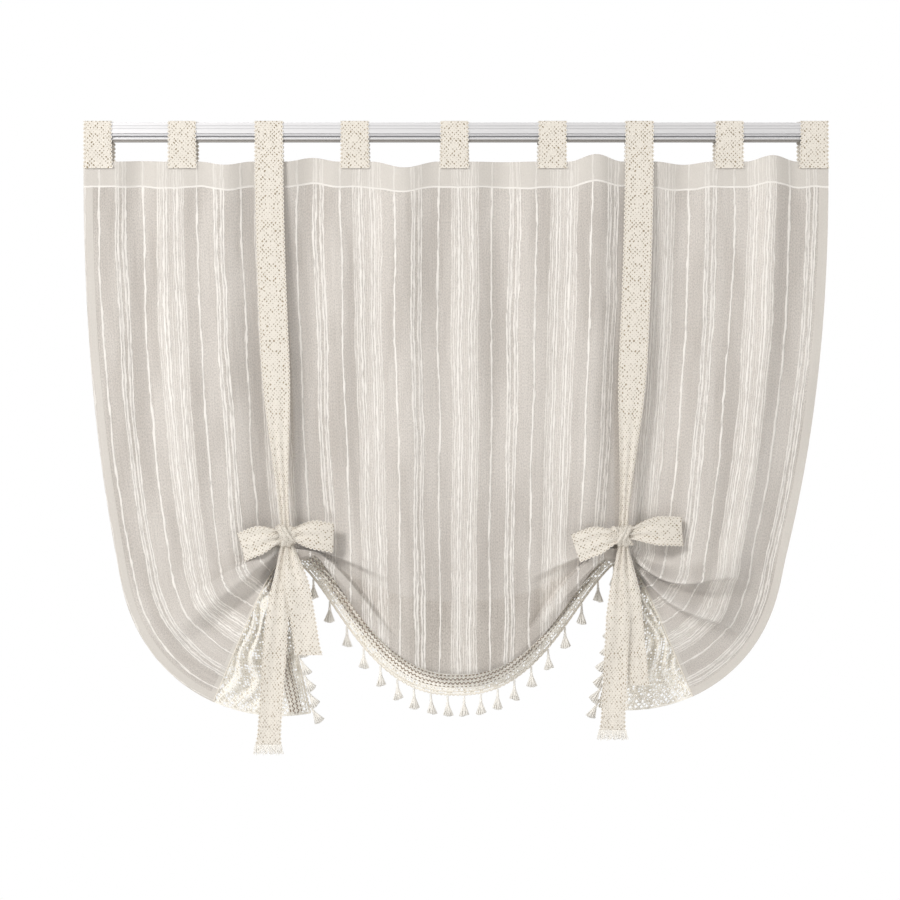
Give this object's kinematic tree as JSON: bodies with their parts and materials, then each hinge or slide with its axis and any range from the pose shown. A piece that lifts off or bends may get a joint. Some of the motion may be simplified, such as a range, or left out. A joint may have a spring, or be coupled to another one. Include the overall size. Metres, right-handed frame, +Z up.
{
  "type": "tie-up lace curtain",
  "caption": "Sheer striped tie-up curtain on a flat rail, hung by lace tabs, gathered by two tied lace tapes over a tasselled lace hem.",
  "frame": {"origin": "middle of the rail's back face", "axes": "+X along the rail to the right as seen from the front, +Y out of the back, towards the wall, +Z up"},
  "size_m": [1.4034, 0.1134, 1.1793],
  "materials": {
    "aluminium": "satin anodised",
    "sheer_cotton": "open plain weave with raised stripe yarns",
    "cotton_lace": "cream crochet lace"
  },
  "bodies": {
    "root": {"rail": "aluminium", "panel": "sheer_cotton", "lace_border": "cotton_lace", "tab_1": "cotton_lace", "tab_2": "cotton_lace", "tab_4": "cotton_lace", "tab_5": "cotton_lace", "tab_6": "cotton_lace", "tab_8": "cotton_lace", "tab_9": "cotton_lace", "tie_left": "cotton_lace", "tie_right": "cotton_lace", "tassel_01": "cotton_lace", "tassel_02": "cotton_lace", "tassel_03": "cotton_lace", "tassel_04": "cotton_lace", "tassel_05": "cotton_lace", "tassel_06": "cotton_lace", "tassel_07": "cotton_lace", "tassel_08": "cotton_lace", "tassel_09": "cotton_lace", "tassel_10": "cotton_lace", "tassel_11": "cotton_lace", "tassel_12": "cotton_lace", "tassel_13": "cotton_lace", "tassel_14": "cotton_lace", "tassel_15": "cotton_lace", "tassel_16": "cotton_lace", "tassel_17": "cotton_lace", "tassel_18": "cotton_lace", "tassel_19": "cotton_lace", "tassel_20": "cotton_lace", "tassel_21": "cotton_lace", "tassel_22": "cotton_lace", "tassel_23": "cotton_lace", "tassel_24": "cotton_lace", "tassel_25": "cotton_lace", "tassel_26": "cotton_lace", "tassel_27": "cotton_lace", "tassel_28": "cotton_lace", "tassel_29": "cotton_lace", "tassel_30": "cotton_lace", "tassel_31": "cotton_lace", "tassel_32": "cotton_lace", "tassel_33": "cotton_lace", "tassel_34": "cotton_lace", "tassel_35": "cotton_lace", "tassel_36": "cotton_lace", "tassel_37": "cotton_lace", "tassel_38": "cotton_lace", "tassel_39": "cotton_lace", "tassel_40": "cotton_lace"}
  },
  "joints": []
}
